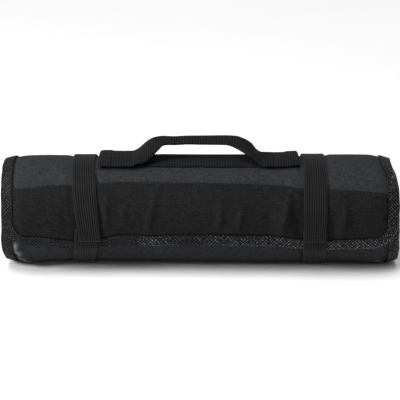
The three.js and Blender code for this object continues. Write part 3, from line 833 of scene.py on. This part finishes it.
def binding():
    run, x, to_run, to_x, along = edge_path(1.7)
    # Its section, as a way inwards from the cloth's edge and a height over the cloth's middle.
    rounded = [(TAPE_WIDTH, TAPE_TOP - 0.75), (TAPE_WIDTH - 0.15, TAPE_TOP - 0.25)]
    ways = [TAPE_WIDTH - 0.6, TAPE_WIDTH - 1.2, TAPE_STITCH + 0.5, TAPE_STITCH, TAPE_STITCH - 0.5,
            5.6, 4.8, 3.9, 3.0, 2.1, 1.2, 0.2]
    flat = [(way, TAPE_TOP) for way in ways]
    fold = [(-GAP - TAPE * math.cos(a), TAPE_TOP * math.sin(a))
            for a in np.radians([68, 45, 22, 0])]
    half_ring = rounded + flat + fold
    lower = [(u, -v) for u, v in half_ring[:-1]][::-1]
    inner = [(TAPE_WIDTH, ON_CLOTH), (5.0, ON_CLOTH), (-0.1, ON_CLOTH)]
    inside = [(u, -v) for u, v in inner] + inner[::-1]
    ring = np.array(half_ring + lower + inside)
    u, v = ring.T
    outer = (np.abs(v) > ON_CLOTH + 0.1) | (u < -GAP)
    groove = pull(along[:, None], u - TAPE_STITCH, 0.7, 0.38)
    phase = 2 * np.pi * along[:, None]
    wrinkle = 0.10 * np.sin(phase / 6.3 + u * 0.5) * np.exp(-((u - 3) / 4) ** 2)
    wobble = 0.14 * np.sin(phase / 41.0) + 0.10 * np.sin(phase / 17.3 + 1)
    shift = np.where(outer, groove + wrinkle, 0) * np.sign(v)
    way = u - drawn_in(x)[:, None] * np.clip(u, 0, None) / TAPE_WIDTH
    way = way + np.where((u > TAPE_WIDTH - 1) | (u < 0), wobble, 0)
    run, x, to_run, to_x = (values[:, None] for values in (run, x, to_run, to_x))
    rings = cloth_point(run + to_run * way, x + to_x * way, v + shift)
    obj = sweep("binding_tape", rings, cloth_map(along, length_so_far(ring)), closed=True)
    dress(obj, TAPE_CLOTH, "black_tape", "binding")


def binding_stitches():
    step = STITCH_PITCH / 4
    run, x, to_run, to_x, along = edge_path(step)
    at = (along % STITCH_PITCH) < step + 1e-6
    keep = np.flatnonzero(at[1:] & ~at[:-1]) + 1
    run, x = run + to_run * TAPE_STITCH, x + to_x * TAPE_STITCH
    for name, side in (("binding_stitches_out", 1), ("binding_stitches_in", -1)):
        rise = side * (TAPE_TOP - 0.1)
        centres = cloth_point(run, x, rise)
        normals = cloth_point(run, x, rise + side) - centres
        alongs = np.roll(centres, -1, axis=0) - np.roll(centres, 1, axis=0)
        stitch_row(name, centres[keep], alongs[keep], normals[keep], 2.2, 0.55, 0.12)


# -------- the straps
def hull(points):
    """The convex hull of points in a section, in order round it."""
    order = points[np.lexsort((points[:, 1], points[:, 0]))]

    def half(chain_points):
        chain = []
        for p in chain_points:
            while len(chain) > 1 and np.cross(chain[-1] - chain[-2], p - chain[-2]) <= 0:
                chain.pop()
            chain.append(p)
        return chain[:-1]

    return np.array(half(order) + half(order[::-1]))


STRAP_HEM = (0.55, 8.5, 10.0)  # how thick its end's hem is, and where that eases and ends
STRAP_STITCH = 3.2  # from its end to the row of stitches
STRAP_LIFT = 0.6 * GAP  # how far it lies off what is under it
LOOP_POINTS = 360


def strap_way(side):
    """Points of a taut loop round the roll, by angle, with their outward normals."""
    runs = np.linspace(0, run_at(1.1), 420)
    angles = (FLAP_ANGLE - 360 * turn_at(runs)) % 360
    turns = np.where(angles < STRAP_END - 360, angles + 360, angles)
    parts = []
    for beside in np.linspace(-0.5, 0.5, 5) * STRAP_WIDTH:
        x = strap_x(side, turns) + beside
        rise = np.where(runs < TAPE_WIDTH, TAPE_TOP,
                        np.where(runs < seam_at(x), PANEL_TOP + 0.5, CLOTH / 2))
        parts.append(cloth_point(runs, x, rise)[:, 1:])
    loop = hull(np.concatenate(parts))
    loop = np.concatenate([loop, loop[:1]])
    length = length_so_far(loop)
    even = np.linspace(0, length[-1], LOOP_POINTS + 1)[:-1]
    at = np.stack([np.interp(even, length, loop[:, k]) for k in (0, 1)], axis=-1)
    smooth = sum(w * np.roll(at, s, axis=0) for w, s in zip(bell(6, 2.2), range(-6, 7)))
    centre = smooth.mean(axis=0)
    along = np.roll(smooth, -1, axis=0) - np.roll(smooth, 1, axis=0)
    normal = np.stack([along[:, 1], -along[:, 0]], axis=-1)
    normal /= np.linalg.norm(normal, axis=1)[:, None]
    angle = np.degrees(np.arctan2(-(smooth[:, 0] - centre[0]), smooth[:, 1] - centre[1])) % 360
    order = np.argsort(angle)
    return angle[order], smooth[order], normal[order]


def strap(side, name, node):
    """A strap from its root round the roll and over its root again, with a hemmed end."""
    angle, points, normals = strap_way(side)
    many = np.concatenate([angle - 360, angle, angle + 360, angle + 720])
    turns = np.linspace(STRAP_ROOT, STRAP_END, 300)
    p, nrm = (np.stack([np.interp(turns, many, np.tile(v[:, k], 4)) for k in (0, 1)], axis=-1)
              for v in (points, normals))
    climb_end = 360 + STRAP_ROOT - 6
    climb = smoothstep(turns, climb_end - STRAP_CLIMB, climb_end)
    middle = strap_x(side, turns)
    kernel = np.hanning(41) / np.hanning(41).sum()
    middle = np.convolve(np.pad(middle, 20, mode="edge"), kernel, mode="valid")
    length = length_so_far(p)
    to_end = length[-1] - length
    hem = STRAP_HEM[0] * (1 - smoothstep(to_end, *STRAP_HEM[1:]))
    groove = -0.25 * np.exp(-((to_end - STRAP_STITCH) / 0.7) ** 2)
    tip = round_end(to_end, 1.1, 0.12)
    # Its section: ribs on top, and round edges.
    w = np.linspace(-1, 1, 97)
    back = slice(-2, 0, -4)
    rib = 0.16 * np.cos(w * np.pi * STRAP_WIDTH / STRAP_RIB) * (np.abs(w) < 0.96)
    edge = np.sqrt(np.clip(1 - np.abs(w) ** 14, 0, 1))
    section_w = np.concatenate([w, w[back]])
    section_h = np.concatenate([STRAP / 2 * (1 + edge) + rib * edge, STRAP / 2 * (1 - edge[back])])
    is_top = np.arange(len(section_w)) < len(w)
    cup = 0.25 * np.cos(length / 37.0)[:, None] * section_w ** 2
    off = STRAP_LIFT + climb[:, None] * (STRAP + STRAP_LIFT) + section_h * tip[:, None]
    off = off + np.where(is_top, (hem + groove)[:, None], 0) + np.abs(cup)
    # It is narrower towards its end and where it passes over the top.
    narrower = 1 - 0.09 * (1 - smoothstep(to_end, 2, 45))
    narrower = narrower - 0.05 * np.exp(-((turns - 375) / 25) ** 2)
    x = middle[:, None] + section_w * STRAP_WIDTH / 2 * narrower[:, None]
    y = p[:, :1] + nrm[:, :1] * off
    z = p[:, 1:] + nrm[:, 1:] * off
    rings = np.stack([x, y, z], axis=-1)
    uvs = cloth_map(to_end, section_w * STRAP_WIDTH / 2)
    dress(sweep(name, rings, uvs, closed=False), STRAP_CLOTH, "black_webbing", node)
    # A row of stitches across its end.
    row = int(np.argmin(np.abs(to_end - STRAP_STITCH)))
    ws = np.arange(-8.4, 8.5, 2.4)
    height = off[row, is_top].max() - 0.28
    centres = np.array([(middle[row] + w, *(p[row] + nrm[row] * height)) for w in ws])
    alongs, normals = (np.tile(v, (len(ws), 1)) for v in ([1.0, 0.0, 0.0], [0.0, *nrm[row]]))
    stitch_row(name + "_stitches", centres, alongs, normals, 1.9, 0.5, 0.1)


# -------- the handle and its base
# Sections of the handle from left to right: along, lift, fold, and how far its edges droop. Lift
# is a share of the grip's height, and fold goes from flat webbing, 0, to a folded grip, 1.
HANDLE_TABLE = np.array([
    (-1.00, 0.02, 0.00, 0.0), (-0.80, 0.04, 0.00, 0.0), (-0.66, 0.06, 0.00, 0.0),
    (-0.61, 0.24, 0.05, 0.5), (-0.56, 0.57, 0.14, 6.5), (-0.51, 0.85, 0.27, 8.9),
    (-0.46, 1.00, 0.44, 8.0), (-0.41, 1.04, 0.66, 5.2), (-0.36, 1.03, 0.88, 1.0),
    (-0.31, 1.00, 0.98, 0.0), (-0.25, 0.99, 1.00, 0.0), (-0.12, 1.035, 1.00, 0.0),
    (0.00, 1.035, 1.00, 0.7), (0.10, 1.045, 1.00, 1.1), (0.20, 1.06, 1.00, 1.4),
    (0.25, 1.065, 1.00, 1.6), (0.29, 1.07, 1.00, 1.9), (0.34, 1.065, 0.96, 3.6),
    (0.39, 1.05, 0.84, 5.2), (0.44, 0.94, 0.66, 5.6), (0.49, 0.80, 0.46, 4.8),
    (0.54, 0.57, 0.26, 2.6), (0.58, 0.21, 0.10, 0.6), (0.62, 0.03, 0.00, 0.0),
    (0.80, 0.00, 0.00, 0.0), (1.00, 0.00, 0.00, 0.0),
])
HANDLE_AT, HANDLE_VALUES = smooth_table(HANDLE_TABLE[:, 0], HANDLE_TABLE[:, 1:], 0.004, 0.012)
HANDLE_HEM = (0.6, 11.0, 12.5)  # how thick its ends' hems are, and where that eases and ends
GRIP_TOP = 48  # how many points its section has before its middle
BOX_ROWS = (2.5, 22.0)  # from an end of the handle to its box of stitches
BOX_SIDE = HANDLE_WIDTH / 2 - 2.6  # and from its middle line to the box's sides
BOX_PITCH = 2.5


def handle_hem(to_end):
    return HANDLE_HEM[0] * (1 - smoothstep(to_end, *HANDLE_HEM[1:]))


def handle_slant(along):
    """How much further forward the handle lies, at a share of the way along it."""
    return np.interp(along, [-1, 1], HANDLE_SLANT)


def top_point(x, back, rise):
    """A point at the top of the roll, some way to the back of the handle's middle line."""
    run = run_at((FLAP_ANGLE + shape_at(x, "slip")) / 360) - HANDLE_FORWARD + back
    return cloth_point(run, x, rise)


def flat_section(count, every):
    """Shares across flat webbing, over its top and back along its underside."""
    w = np.linspace(-1, 1, count)
    edge = np.sqrt(np.clip(1 - np.abs(w) ** 18, 0, 1))
    back = slice(-2, 0, -every)
    shares = np.concatenate([w, w[back]])
    heights = np.concatenate([0.5 + 0.5 * edge, 0.5 - 0.5 * edge[back]])
    return shares, heights, np.arange(len(shares)) < count


def handle_base():
    xs = HANDLE_SHIFT + np.linspace(-1, 1, 120) * HANDLE_LENGTH / 2
    shares, heights, is_top = flat_section(81, 4)
    ribs = 0.08 * np.cos(shares * np.pi * 13) * is_top
    x = np.repeat(xs[:, None], len(shares), axis=1)
    back = np.broadcast_to(shares * BASE_WIDTH / 2, x.shape)
    rings = top_point(x, back, ON_CLOTH - 0.1 + heights * BASE + ribs)
    obj = sweep("handle_base_webbing", rings, np.stack([x, back], axis=-1), closed=False)
    dress(obj, HANDLE_CLOTH, "black_webbing", "handle_base")


def handle():
    xs = HANDLE_SHIFT + np.linspace(-1, 1, 260) * HANDLE_LENGTH / 2
    along = (xs - HANDLE_SHIFT) / (HANDLE_LENGTH / 2)
    lift, fold, droop = (np.interp(along, HANDLE_AT, v) for v in HANDLE_VALUES)
    shares, heights, is_top = flat_section(2 * GRIP_TOP + 1, 3)
    lying = ON_CLOTH + BASE + GAP - 0.1
    to_end = HANDLE_LENGTH / 2 * (1 - np.abs(along))
    x = np.repeat(xs[:, None], len(shares), axis=1)
    back = np.broadcast_to(shares * HANDLE_WIDTH / 2, x.shape)
    hang = np.where(shares < 0, shares ** 2, shares ** 2 / 4)
    ribs = 0.09 * np.cos(shares * np.pi * 14) * is_top
    # The grooves that the boxes of stitches pull into its ends.
    box = np.zeros_like(x)
    for row in BOX_ROWS:
        box -= 0.3 * np.exp(-((to_end - row) / 0.6) ** 2)[:, None] * (np.abs(shares) < 0.9)
    sides = -0.3 * np.exp(-((np.abs(back) - BOX_SIDE) / 0.6) ** 2)
    box += sides * (smoothstep(to_end, 1.5, 2.5) * (1 - smoothstep(to_end, 21.5, 22.5)))[:, None]
    thick = (HANDLE + handle_hem(to_end)[:, None] * is_top) * round_end(to_end, 1.2, 0.1)[:, None]
    rise = lying + heights * thick + ribs + box * is_top
    flat = top_point(x, back - handle_slant(along)[:, None], rise)
    top = top_point(xs, 0.0, 0.0)
    height = CLOTH / 2 + GRIP_RISE - lying - HANDLE / 2
    # Folded, its two halves lie on each other: an oval with a seam line low at its front.
    bulge = GRIP / 2 * (1 - np.abs(shares) ** 2.6) ** 0.5
    bulge = np.where(np.abs(shares) >= 1, 0.0, bulge) + 0.35
    seam = -0.45 * np.exp(-((shares + 0.62) / 0.09) ** 2) * is_top
    grip_y = top[:, 1:2] + shares * GRIP_WIDTH / 2
    grip_z = top[:, 2:3] + lying + HANDLE / 2 + np.where(is_top, bulge + seam, -bulge) + ribs
    folded = np.stack([x, grip_y, grip_z], axis=-1)
    at = flat + (folded - flat) * fold[:, None, None]
    at[..., 2] += (lift * height)[:, None] - droop[:, None] * hang
    sway = 0.5 * np.sin(along * 9.0 + 0.5) * smoothstep(fold, 0.8, 1.0)
    at[..., 1] += sway[:, None]
    uvs = cloth_map(length_so_far(at[:, GRIP_TOP]), back[0])
    obj = sweep("handle_webbing", at, uvs, closed=False)
    dress(obj, HANDLE_CLOTH, "black_webbing", "handle")
    handle_stitches(lying)


def handle_stitches(lying):
    """The box of stitches that holds each end of the handle down."""
    for name, sign in (("handle_stitches_left", -1), ("handle_stitches_right", 1)):
        end = HANDLE_SHIFT + sign * HANDLE_LENGTH / 2
        ends = sorted(end - sign * row for row in BOX_ROWS)
        backs = np.arange(-BOX_SIDE + 1.2, BOX_SIDE, BOX_PITCH)
        # Each stitch: its x, its way to the back and the direction it lies in.
        rows = [(x, back, 0, 1) for x in ends[::-sign] for back in backs]
        rows += [(x, back, 1, 0) for back in (-BOX_SIDE, BOX_SIDE)
                 for x in np.arange(ends[0] + 1.2, ends[1], BOX_PITCH)]
        x, back, to_x, to_back = np.array(rows).T
        rise = lying + HANDLE + handle_hem(np.abs(end - x)) - 0.22
        back = back - handle_slant((x - HANDLE_SHIFT) / (HANDLE_LENGTH / 2))
        centre = top_point(x, back, rise)
        normal = top_point(x, back, rise + 1) - centre
        along = top_point(x + to_x * 0.5, back + to_back * 0.5, rise) - centre
        stitch_row(name, centre, along, normal, 1.9, 0.5, 0.1)


cloth_obj = cloth_sheet()
panel_obj = panel()
binding()
seam_stitches()
binding_stitches()
strap(-1, "strap_left_webbing", "strap_left")
strap(1, "strap_right_webbing", "strap_right")
handle_base()
handle()

# -------- floor, light and camera
# From here on, lengths are in metres.
FLOOR = 6.0  # from the middle of the floor to its edges
WORLD_LIGHT = 0.33
KEY_PLACE, KEY_TARGET = (-1.15, -0.6, 0.75), (-0.08, 0, 0.05)
KEY_SIZE, KEY_POWER = 0.45, 21
SUN_WAY, SUN_STRENGTH, SUN_SPREAD = (0.15, 0.12, -1.0), 2.35, 50
ELEVATION = math.radians(18)
DISTANCE = 1.4
AIM = Vector((0, 0, 0.05715))
SENSOR = 36  # the width of the camera's sensor in millimetres
PICTURE = 400  # the photograph's width in pixels
FOCAL_PIXELS = 1514.9

floor_mesh = bpy.data.meshes.new("floor")
floor_corners = [(x * FLOOR, y * FLOOR, 0) for x, y in ((-1, -1), (1, -1), (1, 1), (-1, 1))]
floor_mesh.from_pydata(floor_corners, [], [(0, 1, 2, 3)])
floor = bpy.data.objects.new("floor", floor_mesh)
bpy.context.collection.objects.link(floor)
n = Nodes("pale_floor")
tone = n.noise(3.0, 2.0, 0.5)
pale = n.ramp(tone, grey(0.80), grey(0.83))
floor_mesh.materials.append(n.finish(pale, 0.9, tone, 0.01, 0.1))

world = bpy.data.worlds.new("studio")
bpy.context.scene.world = world
world.use_nodes = True
background = world.node_tree.nodes["Background"]
background.inputs["Color"].default_value = (1, 1, 1, 1)
background.inputs["Strength"].default_value = WORLD_LIGHT


def light(name, kind, energy, way):
    """A light that shines one way."""
    data = bpy.data.lights.new(name, kind)
    data.energy = energy
    obj = bpy.data.objects.new(name, data)
    obj.rotation_euler = way.to_track_quat("-Z", "Y").to_euler()
    bpy.context.collection.objects.link(obj)
    return obj


# A soft box to the left of the camera, and a soft light from above.
key = light("key", "AREA", KEY_POWER, Vector(KEY_TARGET) - Vector(KEY_PLACE))
key.location = KEY_PLACE
key.data.size = KEY_SIZE
sun = light("top", "SUN", SUN_STRENGTH, Vector(SUN_WAY))
sun.data.angle = math.radians(SUN_SPREAD)

camera = bpy.data.cameras.new("camera")
camera.sensor_width = SENSOR
camera.lens = SENSOR * FOCAL_PIXELS / PICTURE
camera.clip_end = 50
camera_obj = bpy.data.objects.new("camera", camera)
camera_obj.location = AIM + DISTANCE * Vector((0, -math.cos(ELEVATION), math.sin(ELEVATION)))
camera_obj.rotation_euler = (math.pi / 2 - ELEVATION, 0, 0)
bpy.context.collection.objects.link(camera_obj)
bpy.context.scene.camera = camera_obj
bpy.context.scene.view_settings.view_transform = "Standard"
